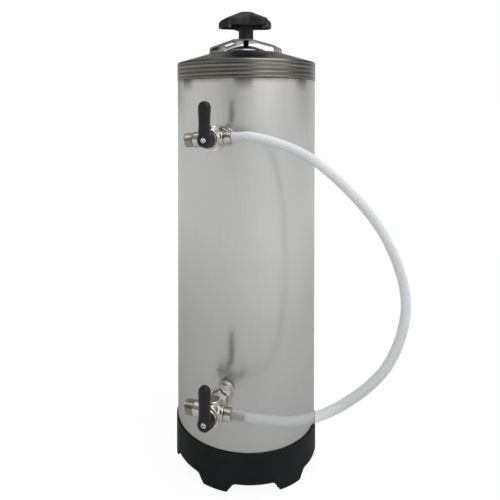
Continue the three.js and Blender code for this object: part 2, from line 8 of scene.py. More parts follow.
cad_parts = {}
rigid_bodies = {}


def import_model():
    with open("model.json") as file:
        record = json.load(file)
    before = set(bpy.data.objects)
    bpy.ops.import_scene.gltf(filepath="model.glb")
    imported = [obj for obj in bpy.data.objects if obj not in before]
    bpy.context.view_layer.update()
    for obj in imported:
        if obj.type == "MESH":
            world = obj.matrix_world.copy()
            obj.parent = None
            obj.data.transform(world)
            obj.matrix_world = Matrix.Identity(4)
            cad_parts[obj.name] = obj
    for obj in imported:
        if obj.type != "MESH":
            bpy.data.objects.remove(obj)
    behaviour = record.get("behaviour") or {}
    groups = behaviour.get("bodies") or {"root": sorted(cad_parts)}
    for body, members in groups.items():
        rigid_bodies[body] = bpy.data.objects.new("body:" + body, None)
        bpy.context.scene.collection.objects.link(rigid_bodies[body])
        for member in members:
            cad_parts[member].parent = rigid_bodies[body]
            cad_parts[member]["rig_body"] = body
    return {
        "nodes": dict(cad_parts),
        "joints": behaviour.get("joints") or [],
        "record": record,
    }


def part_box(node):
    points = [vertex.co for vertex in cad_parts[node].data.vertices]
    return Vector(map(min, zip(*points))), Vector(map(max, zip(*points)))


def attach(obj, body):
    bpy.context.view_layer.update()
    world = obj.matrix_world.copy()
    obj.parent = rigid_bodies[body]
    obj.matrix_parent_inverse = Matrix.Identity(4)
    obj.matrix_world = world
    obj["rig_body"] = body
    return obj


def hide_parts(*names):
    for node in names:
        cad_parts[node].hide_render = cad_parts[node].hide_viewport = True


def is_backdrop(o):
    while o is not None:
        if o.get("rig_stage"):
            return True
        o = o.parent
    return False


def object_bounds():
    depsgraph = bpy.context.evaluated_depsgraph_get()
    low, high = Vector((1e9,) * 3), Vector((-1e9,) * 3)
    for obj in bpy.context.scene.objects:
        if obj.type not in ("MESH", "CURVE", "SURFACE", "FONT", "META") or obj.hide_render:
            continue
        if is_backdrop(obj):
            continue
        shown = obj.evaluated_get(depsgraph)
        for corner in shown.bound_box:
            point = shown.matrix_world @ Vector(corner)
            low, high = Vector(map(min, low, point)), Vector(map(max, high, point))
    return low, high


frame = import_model()
cad_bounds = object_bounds()

MM = 0.001
TURN = 2 * math.pi

CAMERA_AT = Vector((196.8, -693.4, 468.1))  # millimetres from the tank's axis
CAMERA_ANGLE = math.atan2(CAMERA_AT.y, CAMERA_AT.x)
ROOM = 1.08  # brightness of the studio's panels
EVEN_ROOM = (0.95, 0.95, 0.95)  # what dull surfaces are lit by
# Painted shade: the floor is darker close to the object, as in the object's shadow.
PAINTED_FLOOR_SHADE = (0.46, 0.46, 0.46)  # tone of the floor close to the object
TACK_COUNT = 7  # tack welds round the top of the tank

# ---------------------------------------------------------------- dimensions read from the frame
shell_low, shell_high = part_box("tank_shell")
AXIS = Vector(((shell_low.x + shell_high.x) / 2, (shell_low.y + shell_high.y) / 2, 0))


def span(node):
    """Lowest and highest corner of a CAD node, in millimetres from the tank's axis."""
    low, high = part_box(node)
    return (low - AXIS) / MM, (high - AXIS) / MM


def height_of(joint_name):
    """Height of a joint above the floor."""
    joint = next(j for j in frame["joints"] if j["name"] == joint_name)
    return joint["pos_m"][2] / MM


SHELL_BOTTOM, SHELL_TOP = span("tank_shell")[0].z, span("tank_shell")[1].z
TANK_R = span("tank_shell")[1].y
SKIRT_BOTTOM = span("top_dome")[0].z
BOOT_R, BOOT_TOP = span("base_boot")[1].y, span("base_boot")[1].z
VALVES = {side: height_of(f"{side}_lever_turn") for side in ("lower", "upper")}
VALVE_ROLL = {"lower": 0.0, "upper": math.radians(4.3)}  # turned on its own axis, hose side up
LOW = VALVES["lower"]
BODY_LOW, BODY_HIGH = span("lower_valve_body")
NUT_LOW, NUT_HIGH = span("lower_back_nut")
LEVER_LOW, LEVER_HIGH = span("lower_lever")
TAIL_LOW, TAIL_HIGH = span("lower_hose_tail")
SOCKET_LOW, SOCKET_HIGH = span("lower_tank_socket")
BONNET_LOW, BONNET_HIGH = span("lower_bonnet")
SCREW_LOW, SCREW_HIGH = span("lower_lever_screw")
KNOB_LOW, KNOB_HIGH = span("knob")
BRIDGE_LOW, BRIDGE_HIGH = span("bridge_clamp")
LID_LOW, LID_HIGH = span("lid")
GASKET_LOW, GASKET_HIGH = span("lid_gasket")
STUD_LOW, STUD_HIGH = span("lid_stud")

PORT_END = -BODY_LOW.x
CLOSED_BOSS_END = BODY_HIGH.z - LOW
SPIGOT_END = -BODY_HIGH.y
BARREL_END = -BODY_LOW.y
LEVER_FACE = -LEVER_LOW.y
LEVER_REACH = LEVER_HIGH.z - LOW
BALL_LOW, BALL_HIGH = span("lower_valve_ball")
BALL_R = BALL_HIGH.x
CROSS_OUT = -BALL_HIGH.y + BALL_R
TAIL_SHOULDER_END = 23
HOSE_R = 5.5
NUT_FLATS = 2 * (NUT_HIGH.z - LOW)

# ---------------------------------------------------------------- shapes: (points, faces) pairs


def upright(radius, angle, height):
    """A point on a ring about the tank's axis."""
    return (radius * math.cos(angle), radius * math.sin(angle), height)


def outward(valve_height):
    """Rings about a valve's lever axis: the distance runs out from the tank's axis."""
    return lambda radius, angle, out: (
        radius * math.sin(angle), -out, valve_height + radius * math.cos(angle))


def sideways(valve_height, side):
    """Rings about a valve's crossbar, towards the hose (side 1) or the port (side -1)."""
    return lambda radius, angle, reach: (
        side * reach, -CROSS_OUT + radius * math.sin(angle), valve_height + radius * math.cos(angle))


def loft(rings, wrap=False):
    """The surface through closed rings of equally many points. wrap joins the last to the first."""
    count = len(rings[0])
    points = [point for ring in rings for point in ring]
    faces = []
    for i in range(len(rings) if wrap else len(rings) - 1):
        a, b = i * count, (i + 1) % len(rings) * count
        for j in range(count):
            k = (j + 1) % count
            faces.append((a + j, a + k, b + k, b + j))
    return points, faces


def capped(rings):
    """A loft with its first and last ring filled."""
    points, faces = loft(rings)
    count = len(rings[0])
    last = len(points) - count
    return points, faces + [tuple(range(count)), tuple(range(last, last + count))]


def turned(profile, place, sides=64, wrap=False, oval=1.0):
    """A profile of (radius, distance) pairs turned about an axis. oval stretches it along Y."""
    rings = []
    for radius, distance in profile:
        ring = [place(radius, TURN * i / sides, distance) for i in range(sides)]
        rings.append([(x, y * oval, z) for x, y, z in ring])
    return loft(rings, wrap)


def joined(*shapes):
    """Several shapes as one."""
    points, faces = [], []
    for more_points, more_faces in shapes:
        start = len(points)
        points += more_points
        faces += [tuple(start + i for i in face) for face in more_faces]
    return points, faces


def rounded(corners, radius, steps=4, closed=False):
    """The path through the corners, with each corner between two others rounded off."""
    if closed:
        triples = [(corners[i - 1], corners[i], corners[(i + 1) % len(corners)])
                   for i in range(len(corners))]
    else:
        triples = list(zip(corners, corners[1:], corners[2:]))
    path = []
    for before, corner, after in triples:
        before, corner, after = Vector(before), Vector(corner), Vector(after)
        back, ahead = before - corner, after - corner
        reach = min(radius, 0.45 * back.length, 0.45 * ahead.length)
        start = corner + back.normalized() * reach
        end = corner + ahead.normalized() * reach
        for i in range(steps + 1):
            t = i / steps
            path.append(tuple((1 - t) ** 2 * start + 2 * t * (1 - t) * corner + t * t * end))
    return path if closed else [corners[0], *path, corners[-1]]


def rod(radius, start, end, place, sides=64, edge=0.3):
    """A closed cylinder with rounded rims."""
    corners = [(0, start), (radius, start), (radius, end), (0, end)]
    return turned(rounded(corners, edge, 2), place, sides)


def ring_of(inner, outer, start, end, place, sides=64, edge=0.2, oval=1.0):
    """A closed ring of rectangular section with rounded rims."""
    corners = [(inner, start), (outer, start), (outer, end), (inner, end)]
    return turned(rounded(corners, edge, 3, closed=True), place, sides, wrap=True, oval=oval)


def thread(radius, depth, pitch, start, end, bore, place, sides=48):
    """A tube with a right-handed thread cut in its outside."""
    steps = round((end - start) / pitch * 8)
    rings = [[place(bore, TURN * i / sides, start) for i in range(sides)]]
    for step in range(steps + 1):
        reach = start + (end - start) * step / steps
        fade = min(1, (reach - start) / pitch, (end - reach) / pitch)
        ring = []
        for i in range(sides):
            phase = (reach / pitch + i / sides) % 1
            cut = depth * (1 - abs(2 * phase - 1)) * fade + depth * (1 - fade)
            ring.append(place(radius - min(cut, depth * 0.92), TURN * i / sides, reach))
        rings.append(ring)
    rings.append([place(bore, TURN * i / sides, end) for i in range(sides)])
    return loft(rings, wrap=True)


def hexagon_bar(across_flats, start, end, place, bore=0.0, chamfer=1.0, turn=0.0, sides=96):
    """A hexagon bar whose ends are turned to a cone, as on a nut."""
    def ring(distance, limit):
        points = []
        for i in range(sides):
            angle = TURN * i / sides
            off_flat = (angle + turn + TURN / 12) % (TURN / 6) - TURN / 12
            radius = min(across_flats / 2 / math.cos(off_flat), limit)
            points.append(place(radius, angle, distance))
        return points

    corner_r = across_flats / math.sqrt(3)
    rings = [[place(bore, TURN * i / sides, start) for i in range(sides)]]
    levels = [i / 4 for i in range(5)]
    for t in levels:
        rings.append(ring(start + chamfer * t, corner_r - 2 * chamfer * (1 - t)))
    for t in reversed(levels):
        rings.append(ring(end - chamfer * t, corner_r - 2 * chamfer * (1 - t)))
    rings.append([place(bore, TURN * i / sides, end) for i in range(sides)])
    return loft(rings, wrap=bore > 0)


def box_shape(low, high):
    """A box between two corners."""
    (x0, y0, z0), (x1, y1, z1) = low, high
    ring = lambda z: [(x0, y0, z), (x1, y0, z), (x1, y1, z), (x0, y1, z)]
    return capped([ring(z0), ring(z1)])


# ---------------------------------------------------------------- meshes


def to_mesh(name, shape):
    """A shape as a clean mesh in the frame, its normals outwards."""
    points, faces = shape
    mesh = bpy.data.meshes.new(name)
    mesh.from_pydata([AXIS + Vector(p) * MM for p in points], [], faces)
    bm = bmesh.new()
    bm.from_mesh(mesh)
    bmesh.ops.remove_doubles(bm, verts=bm.verts, dist=0.002 * MM)
    bmesh.ops.dissolve_degenerate(bm, edges=bm.edges, dist=0.001 * MM)
    bmesh.ops.recalc_face_normals(bm, faces=bm.faces)
    bm.to_mesh(mesh)
    bm.free()
    return mesh


def to_object(name, shape):
    """A shape as an object in the scene."""
    obj = bpy.data.objects.new(name, to_mesh(name, shape))
    bpy.context.scene.collection.objects.link(obj)
    return obj


def bake(obj):
    """Puts the result of the object's modifiers in its mesh."""
    graph = bpy.context.evaluated_depsgraph_get()
    mesh = bpy.data.meshes.new_from_object(obj.evaluated_get(graph))
    obj.modifiers.clear()
    obj.data = mesh


def carve(obj, *cutters):
    """Cuts closed shapes out of an object."""
    for i, shape in enumerate(cutters):
        cutter = to_object(f"{obj.name}_cutter{i}", shape)
        cut = obj.modifiers.new("cut", "BOOLEAN")
        cut.operation = "DIFFERENCE"
        cut.solver = "EXACT"
        cut.object = cutter
        bake(obj)
        bpy.data.objects.remove(cutter)


def fuse(obj, voxel, passes):
    """Melts overlapping closed shapes into one skin with soft inner corners, as a casting has."""
    remesh = obj.modifiers.new("fuse", "REMESH")
    remesh.mode = "VOXEL"
    remesh.voxel_size = voxel * MM
    smooth = obj.modifiers.new("soften", "SMOOTH")
    smooth.factor = 0.5
    smooth.iterations = passes
    bake(obj)


def soften_edges(obj, width, angle=35):
    """Rounds an object's sharp edges."""
    bevel = obj.modifiers.new("soften", "BEVEL")
    bevel.width = width * MM
    bevel.segments = 3
    bevel.limit_method = "ANGLE"
    bevel.angle_limit = math.radians(angle)
    bevel.harden_normals = False
    bake(obj)


SLOTS = {part["node"]: part["material_slot"] for part in frame["record"]["subparts"]}


def stand_in(node, obj, crease=35):
    """Lets an object stand for a CAD node: its body, its finish and its shading."""
    slot = SLOTS[node]
    obj.data.materials.clear()
    obj.data.materials.append(MATERIALS[slot])
    obj.data.shade_smooth()
    obj.data.set_sharp_from_angle(angle=math.radians(crease))
    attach(obj, frame["nodes"][node]["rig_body"])
    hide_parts(node)


def add(node, shape, crease=35):
    """Makes the detailed piece for a CAD node from a shape."""
    obj = to_object(f"{node}_detailed", shape)
    stand_in(node, obj, crease)
    return obj


# ---------------------------------------------------------------- materials


def node(tree, kind, **settings):
    """A shader node with its properties set."""
    made = tree.nodes.new(kind)
    for name, value in settings.items():
        setattr(made, name, value)
    return made


def place_vector(tree, scale):
    """The point being shaded, in metres from the tank's axis, with each axis scaled."""
    coordinates = node(tree, "ShaderNodeTexCoord")
    mapping = node(tree, "ShaderNodeMapping")
    mapping.inputs["Location"].default_value = tuple(-a * s for a, s in zip(AXIS, scale))
    mapping.inputs["Scale"].default_value = scale
    tree.links.new(coordinates.outputs["Object"], mapping.inputs["Vector"])
    return mapping.outputs["Vector"]


def noise(tree, vector, scale=1.0, detail=3.0, roughness=0.5):
    """A noise value between 0 and 1."""
    made = node(tree, "ShaderNodeTexNoise")
    made.inputs["Scale"].default_value = scale
    made.inputs["Detail"].default_value = detail
    made.inputs["Roughness"].default_value = roughness
    tree.links.new(vector, made.inputs["Vector"])
    return made.outputs["Fac"]


def remap(tree, value, low, high, from_low=0.3, from_high=0.7):
    """A value moved from one range to another, smoothly."""
    made = node(tree, "ShaderNodeMapRange", interpolation_type="SMOOTHSTEP")
    made.inputs["From Min"].default_value = from_low
    made.inputs["From Max"].default_value = from_high
    made.inputs["To Min"].default_value = low
    made.inputs["To Max"].default_value = high
    tree.links.new(value, made.inputs["Value"])
    return made.outputs["Result"]


def blend_colours(tree, factor, first, second):
    """Two colours mixed by a value. A colour is a tuple or a socket."""
    mix = node(tree, "ShaderNodeMix", data_type="RGBA")
    for socket, colour in ((mix.inputs[6], first), (mix.inputs[7], second)):
        if isinstance(colour, tuple):
            socket.default_value = (*colour, 1)
        else:
            tree.links.new(colour, socket)
    tree.links.new(factor, mix.inputs[0])
    return mix.outputs[2]


def math_node(tree, operation, *values):
    """A value worked out from numbers or sockets."""
    made = node(tree, "ShaderNodeMath", operation=operation)
    for socket, value in zip(made.inputs, values):
        if isinstance(value, (int, float)):
            socket.default_value = value
        else:
            tree.links.new(value, socket)
    return made.outputs[0]


def relief(tree, shader, height, depth):
    """Bump of the given depth in millimetres."""
    bump = node(tree, "ShaderNodeBump")
    bump.inputs["Distance"].default_value = depth * MM
    tree.links.new(height, bump.inputs["Height"])
    tree.links.new(bump.outputs["Normal"], shader.inputs["Normal"])


def start_material(name, metallic, specular=0.5):
    """A new material with its tree and its principled shader."""
    material = bpy.data.materials.new(name)
    material.use_nodes = True
    tree = material.node_tree
    shader = tree.nodes["Principled BSDF"]
    shader.inputs["Metallic"].default_value = metallic
    shader.inputs["Specular IOR Level"].default_value = specular
    return material, tree, shader


def grained(name, dark, light, metallic, rough, grain, depth, specular=0.5, cloud=25.0):
    """A surface with slow clouds of tone, roughness that varies, and a fine grain in relief.
    grain is the scale of the relief along each axis, and rough is the range of roughness."""
    material, tree, shader = start_material(name, metallic, specular)
    clouds = noise(tree, place_vector(tree, (cloud,) * 3))
    fine = noise(tree, place_vector(tree, grain), detail=2.0)
    mixed = math_node(tree, "ADD", math_node(tree, "MULTIPLY", clouds, 0.65),
                      math_node(tree, "MULTIPLY", fine, 0.35))
    colour = blend_colours(tree, remap(tree, mixed, 0, 1), dark, light)
    tree.links.new(colour, shader.inputs["Base Color"])
    tree.links.new(remap(tree, mixed, *rough), shader.inputs["Roughness"])
    relief(tree, shader, fine, depth)
    return material, tree, shader, colour


def satin_stainless():
    """Rolled sheet with fine upright streaks, and under the weld at the top a straw heat tint with
    dark smudges where the seam was tacked."""
    material, tree, shader, steel = grained(
        "satin_stainless", (0.592, 0.598, 0.578), (0.634, 0.638, 0.620), 1.0, (0.28, 0.34),
        (900, 900, 24), 0.0003, cloud=7.0)
    place = place_vector(tree, (1, 1, 1))
    parts = node(tree, "ShaderNodeSeparateXYZ")
    tree.links.new(place, parts.inputs["Vector"])
    angle = math_node(tree, "ARCTAN2", parts.outputs["Y"], parts.outputs["X"])
    around = math_node(tree, "SUBTRACT", angle, CAMERA_ANGLE - math.radians(2))
    tack = math_node(tree, "COSINE", math_node(tree, "MULTIPLY", around, TACK_COUNT))
    blotch = noise(tree, place, 45.0)
    near_tack = remap(tree, math_node(tree, "ADD", tack, math_node(tree, "MULTIPLY", blotch, 0.6)),
                      0, 1, 0.7, 1.4)
    low_end = remap(tree, parts.outputs["Z"], 0, 1, (SHELL_TOP - 19) * MM, (SHELL_TOP + 3) * MM)
    smudge = math_node(tree, "MULTIPLY", near_tack, low_end)
    straw_end = remap(tree, parts.outputs["Z"], 0, 1, (SHELL_TOP - 6) * MM, SHELL_TOP * MM)
    straw = math_node(tree, "MULTIPLY", straw_end, remap(tree, blotch, 0.25, 0.8, 0.35, 0.65))
    tinted = blend_colours(tree, straw, steel, (0.36, 0.25, 0.14))
    colour = blend_colours(tree, math_node(tree, "MULTIPLY", smudge, 0.85), tinted, (0.085, 0.07, 0.05))
    tree.links.new(colour, shader.inputs["Base Color"])
    sharp = node(tree, "ShaderNodeBsdfAnisotropic")
    sharp.inputs["Roughness"].default_value = 0.23
    tree.links.new(colour, sharp.inputs["Color"])
    mix = node(tree, "ShaderNodeMixShader")
    mix.inputs["Fac"].default_value = 0.5
    tree.links.new(shader.outputs["BSDF"], mix.inputs[1])
    tree.links.new(sharp.outputs["BSDF"], mix.inputs[2])
    tree.links.new(mix.outputs["Shader"], tree.nodes["Material Output"].inputs["Surface"])
    return material


def polished_stainless():
    """Pressed sheet with faint spinning marks, stained brown by the heat of the seam on the skirt."""
    material, tree, shader, steel = grained(
        "polished_stainless", (0.295, 0.30, 0.315), (0.38, 0.39, 0.41), 1.0, (0.22, 0.30),
        (30, 30, 300), 0.0025, cloud=30.0)
    parts = node(tree, "ShaderNodeSeparateXYZ")
    tree.links.new(place_vector(tree, (1, 1, 1)), parts.inputs["Vector"])
    stain = remap(tree, parts.outputs["Z"], 0.9, 0, (SHELL_TOP + 30) * MM, (SHELL_TOP + 40) * MM)
    streaks = noise(tree, place_vector(tree, (9, 9, 420)), detail=4.0)
    stained = blend_colours(tree, remap(tree, streaks, 0, 1), (0.115, 0.103, 0.085), (0.23, 0.22, 0.20))
    tree.links.new(blend_colours(tree, stain, steel, stained), shader.inputs["Base Color"])
    return material


def nickel_brass():
    """Nickel plate over forged brass, slightly warm, with a soft orange-peel relief, and painted shade in its
    crevices.
    """
    material, tree, shader, nickel = grained(
        "nickel_brass", (0.57, 0.545, 0.495), (0.71, 0.69, 0.645), 1.0, (0.16, 0.26),
        (500, 500, 500), 0.004, cloud=80.0)
    # Painted shade: ambient occlusion darkens thread roots, crevices and the gaps between pieces towards brown.
    shelter = node(tree, "ShaderNodeAmbientOcclusion")
    shelter.inputs["Distance"].default_value = 1.6 * MM
    shelter.samples = 8
    painted_crevice_shade = remap(tree, shelter.outputs["AO"], 1, 0, 0.45, 0.85)
    tree.links.new(blend_colours(tree, painted_crevice_shade, nickel, (0.13, 0.105, 0.075)), shader.inputs["Base Color"])
    return material


def bright_chrome():
    """Bright plating with a hint of waviness."""
    return grained("bright_chrome", (0.66, 0.67, 0.68), (0.74, 0.75, 0.76), 1.0, (0.05, 0.12),
                   (300, 300, 300), 0.002, cloud=60.0)[0]


def brass():
    """Turned brass with fine tool marks."""
    return grained("brass", (0.55, 0.38, 0.13), (0.72, 0.53, 0.22), 1.0, (0.2, 0.36),
                   (80, 80, 2500), 0.004)[0]


def black_steel():
    """Blackened thread, a little oily."""
    return grained("black_steel", (0.03, 0.03, 0.032), (0.07, 0.07, 0.072), 0.7, (0.3, 0.5),
                   (900, 900, 900), 0.004, cloud=200.0)[0]


def black_plastic():
    """Moulded satin plastic with the fine texture of its mould."""
    return grained("black_plastic", (0.0075, 0.0078, 0.0085), (0.013, 0.0135, 0.0145), 0.0, (0.34, 0.46),
                   (1700, 1700, 1700), 0.006, specular=0.3, cloud=60.0)[0]


def boot_plastic():
    """Coarser grained moulded plastic, dull, slightly dusty."""
    return grained("boot_plastic", (0.006, 0.0065, 0.007), (0.0115, 0.0125, 0.0135), 0.0, (0.45, 0.62),
                   (1300, 1300, 1300), 0.012, specular=0.14, cloud=35.0)[0]


def seal_rubber():
    """Dull rubber with a powdery bloom."""
    return grained("seal_rubber", (0.012, 0.012, 0.012), (0.03, 0.03, 0.03), 0.0, (0.7, 0.9),
                   (1200, 1200, 1200), 0.01, specular=0.3)[0]


def seat_plastic():
    """White turned seat plastic."""
    return grained("seat_plastic", (0.80, 0.80, 0.77), (0.88, 0.88, 0.86), 0.0, (0.35, 0.5),
                   (900, 900, 900), 0.003)[0]


def resin_beads():
    """Wet amber beads, each a cell of the relief, with painted shade darkening each bead towards its rim where the
    beads meet.
    """
    material, tree, shader = start_material("resin_beads", 0.0)
    cells = node(tree, "ShaderNodeTexVoronoi")
    cells.inputs["Scale"].default_value = 1100
    tree.links.new(place_vector(tree, (1, 1, 1)), cells.inputs["Vector"])
    # Painted shade: each bead is darker towards its rim, where it meets the next one.
    painted_bead_shade = remap(tree, cells.outputs["Distance"], 0, 1, 0.0, 0.7)
    tree.links.new(blend_colours(tree, painted_bead_shade, (0.42, 0.22, 0.06), (0.10, 0.045, 0.01)),
                   shader.inputs["Base Color"])
    tree.links.new(remap(tree, painted_bead_shade, 0.15, 0.6, 0, 1), shader.inputs["Roughness"])
    relief(tree, shader, math_node(tree, "SUBTRACT", 1.0, cells.outputs["Distance"]), 0.4)
    return material


def clear_hose():
    """Milky flexible tube, clearer when seen straight through its wall, with painted shade that makes
    it greyer in the low part, and clearest in the low part where water stands."""
    material, tree, shader, milky = grained(
        "clear_hose", (0.73, 0.745, 0.765), (0.77, 0.785, 0.805), 0.0, (0.30, 0.38),
        (260, 260, 60), 0.0003, cloud=25.0)
    shader.inputs["IOR"].default_value = 1.4
    parts = node(tree, "ShaderNodeSeparateXYZ")
    tree.links.new(place_vector(tree, (1, 1, 1)), parts.inputs["Vector"])
    # Painted shade: the tube turns greyer towards its low part, standing in for light that falls from above.
    painted_low_shade = remap(tree, parts.outputs["Z"], 1, 0, 110 * MM, 260 * MM)
    tone = blend_colours(tree, painted_low_shade, milky, (0.60, 0.605, 0.615))
    clear = node(tree, "ShaderNodeBsdfTransparent")
    clear.inputs["Color"].default_value = (0.975, 0.98, 0.985, 1)
    facing = node(tree, "ShaderNodeLayerWeight")
    facing.inputs["Blend"].default_value = 0.35
    # Painted shade: the rims seen edge-on are darkened to a grey outline, standing in for light bent through the
    # wall.
    edge = remap(tree, facing.outputs["Facing"], 0, 0.6, 0.72, 0.98)
    tree.links.new(blend_colours(tree, edge, tone, (0.40, 0.41, 0.43)), shader.inputs["Base Color"])
    solid_share = remap(tree, facing.outputs["Facing"], 0.5, 0.88, 0.0, 0.9)
    water = remap(tree, parts.outputs["Z"], 0.45, 1, 122 * MM, 150 * MM)
    solid_share = math_node(tree, "MULTIPLY", solid_share, water)
    mirrored = node(tree, "ShaderNodeLightPath").outputs["Is Glossy Ray"]
    solid_share = math_node(tree, "MULTIPLY", solid_share, remap(tree, mirrored, 1, 0.35, 0, 1))
    mix = node(tree, "ShaderNodeMixShader")
    tree.links.new(solid_share, mix.inputs["Fac"])
    tree.links.new(clear.outputs["BSDF"], mix.inputs[1])
    tree.links.new(shader.outputs["BSDF"], mix.inputs[2])
    tree.links.new(mix.outputs["Shader"], tree.nodes["Material Output"].inputs["Surface"])
    return material


MATERIALS = {make.__name__: make() for make in (
    satin_stainless, polished_stainless, nickel_brass, bright_chrome, brass, black_steel,
    black_plastic, boot_plastic, seal_rubber, seat_plastic, resin_beads, clear_hose)}

# ---------------------------------------------------------------- tank

SHEET = 1.2
GAP = SKIRT_BOTTOM - SHELL_TOP
SKIRT_R = TANK_R + 0.5
SKIRT_TOP = SHELL_TOP + 19.2
CROWN_RISE = 20
PLATEAU_R, PLATEAU_RISE = 44.5, 19.2
KNUCKLE_WIDE, KNUCKLE_RISE = 9, 7.2
OPENING_R = LID_HIGH.x - 5.5
OVAL = LID_HIGH.y / LID_HIGH.x


def dome_line(rim_r, rim_z, sheet):
    """A dome's outer line, from its rim to the middle, moved inwards by a sheet."""
    corners = [(rim_r, rim_z), (rim_r, rim_z + 4.6), (rim_r - KNUCKLE_WIDE, rim_z + KNUCKLE_RISE),
               (PLATEAU_R, rim_z + PLATEAU_RISE), (0, rim_z + CROWN_RISE)]
    line = rounded(corners, 6, 6)
    return [(max(r - sheet, 0) if z < rim_z + KNUCKLE_RISE else r, z - (sheet if z > rim_z else 0))
            for r, z in line]


def tank_shell():
    """The rolled tube, with a hole for each socket. Its wall is made in many short rows, so that
    the holes don't disturb the shading above and below them."""
    rows = 72
    outside = [(TANK_R, SHELL_BOTTOM + (SHELL_TOP - SHELL_BOTTOM) * i / rows) for i in range(rows + 1)]
    inside = [(r - SHEET, z) for r, z in reversed(outside)]
    obj = to_object("tank_shell_detailed", turned(outside + inside, upright, 192, wrap=True))
    holes = [rod(SOCKET_LOW.x * -1 - 2.3, TANK_R - 8, TANK_R + 4, outward(z), 32, 0.1)
             for z in VALVES.values()]
    carve(obj, *holes)
    stand_in("tank_shell", obj)


def top_dome():
    """Skirt with its rolled beads, rounded edge, cone and plateau, with the oval opening."""
    sides = 192
    crests = [2.1, 6.8, 12.0, 16.9]
    skirt = []
    rows = 60
    for i in range(rows + 1):
        z = SKIRT_BOTTOM + (SKIRT_TOP - SKIRT_BOTTOM) * i / rows
        nearest = min(abs(z - SKIRT_BOTTOM - crest) for crest in crests)
        proud = 0.16 * math.cos(min(nearest / 2.4, 1) * math.pi)
        skirt.append((SKIRT_R + proud, z))
    skirt[0] = (SKIRT_R - 0.5, SKIRT_BOTTOM)
    over = [(r, z) for r, z in dome_line(SKIRT_R, SKIRT_TOP, 0) if r > PLATEAU_R - 2][1:]
    under = [(r - SHEET if z < SKIRT_TOP + 5 else r, z - SHEET) for r, z in reversed(over)]

    def circle(r, z):
        return [upright(r, TURN * i / sides, z) for i in range(sides)]

    def lip(grow, drop):
        edge = []
        for i in range(sides):
            angle = TURN * i / sides
            x, y = (OPENING_R + grow) * math.cos(angle), (OPENING_R + grow) * OVAL * math.sin(angle)
            flat = SKIRT_TOP + CROWN_RISE - math.hypot(x, y) / PLATEAU_R * (CROWN_RISE - PLATEAU_RISE)
            edge.append((x, y, flat - drop))
        return edge

    rings = [circle(r, z) for r, z in skirt + over]
    rings += [lip(0.5, 0), lip(0.15, 0.12), lip(0, 0.5), lip(0, SHEET - 0.3), lip(0.4, SHEET)]
    rings += [circle(r, z) for r, z in under]
    rings += [circle(SKIRT_R - SHEET - 0.4, SKIRT_TOP), circle(SKIRT_R - SHEET - 0.4, SKIRT_BOTTOM)]
    add("top_dome", loft(rings, wrap=True), 40)


def bottom_dome():
    """The same dome the other way up, under the tube."""
    rim = -SHELL_BOTTOM + GAP
    outside = dome_line(TANK_R, rim, 0)
    inside = [(max(r - SHEET, 0) if z < rim + 5 else r, z - SHEET) for r, z in reversed(outside)]
    inside[-1] = (TANK_R - SHEET, rim)
    place = lambda radius, angle, height: upright(radius, angle, -height)
    add("bottom_dome", turned(outside + inside, place, 128, wrap=True))


def rounded_slab(outline, corner, y0, y1, turn_deg):
    """A prism along Y over an outline in X and Z, turned about the tank's axis."""
    turn = math.radians(turn_deg)
    path = rounded(outline, corner, 4, closed=True)

    def ring(y):
        return [(x * math.cos(turn) - y * math.sin(turn), x * math.sin(turn) + y * math.cos(turn), z)
                for x, z in path]

    return capped([ring(y0), ring(y1)])


def base_boot():
    """The boot: sleeve, web under the dome, and feet between rounded notches."""
    sleeve = TANK_R + 0.4
    foot = BOOT_R - 5.8
    web_z = SHELL_BOTTOM - KNUCKLE_RISE - 1.2
    web_in = 62
    slope = (PLATEAU_RISE - KNUCKLE_RISE) / (TANK_R - KNUCKLE_WIDE - PLATEAU_R)
    cone_r = TANK_R - KNUCKLE_WIDE
    web_in_z = web_z - slope * (cone_r - web_in)
    corners = [
        (foot, 0), (BOOT_R, 0), (BOOT_R, BOOT_TOP), (sleeve, BOOT_TOP), (sleeve, web_z + 1),
        (cone_r, web_z), (web_in, web_in_z), (web_in, web_in_z - 3), (cone_r, web_z - 3),
        (foot, web_z - 3)]
    obj = to_object("base_boot_detailed",
                    turned(rounded(corners, 0.9, 3, closed=True), upright, 192, wrap=True))
    notch_top = 11.5
    outline = [(-36, -4), (36, -4), (24.8, notch_top), (-24.8, notch_top)]
    notches = [rounded_slab(outline, 3, 5 - foot, -BOOT_R - 5, 22 + 60 * i) for i in range(6)]
    carve(obj, *notches)
    stand_in("base_boot", obj, 30)


# ---------------------------------------------------------------- closure


def lid():
    """Pressed oval lid: flange inside the tank, boss through the opening, domed top."""
    boss = LID_HIGH.x - 6.6
    flange = LID_HIGH.x
    top, flange_top, rim = LID_HIGH.z, LID_LOW.z + 1.5, LID_HIGH.z - 7.4
    sheet = 1.5
    outside = rounded([(flange, flange_top), (boss, flange_top), (boss, rim), (22, rim + 2.2),
                       (12, top - 1.6), (4.3, top - 0.3)], 2.2, 5)
    inside = rounded([(4.3, top - sheet), (21, rim + 2.2 - sheet), (boss - sheet, rim - sheet),
                      (boss - sheet, flange_top - sheet), (flange, flange_top - sheet)], 1.2, 3)
    add("lid", turned(outside + inside, upright, 128, wrap=True, oval=OVAL))


def lid_gasket():
    """Flat oval seal with rounded rims."""
    inner = LID_HIGH.x - 6.3
    add("lid_gasket", ring_of(inner, GASKET_HIGH.x, GASKET_LOW.z, GASKET_HIGH.z, upright, 128, 0.8, OVAL))


def lid_stud():
    """Threaded stud with its head under the lid."""
    radius = 4
    head_top = STUD_LOW.z + 3
    head = hexagon_bar(12.1, STUD_LOW.z, head_top, upright, 0.0, 0.6)
    shank = rod(3.2, head_top - 1, STUD_HIGH.z, upright, 32, 0.5)
    cut = thread(radius, 0.75, 1.25, head_top, STUD_HIGH.z - 0.4, 2.6, upright)
    add("lid_stud", joined(head, shank, cut), 30)


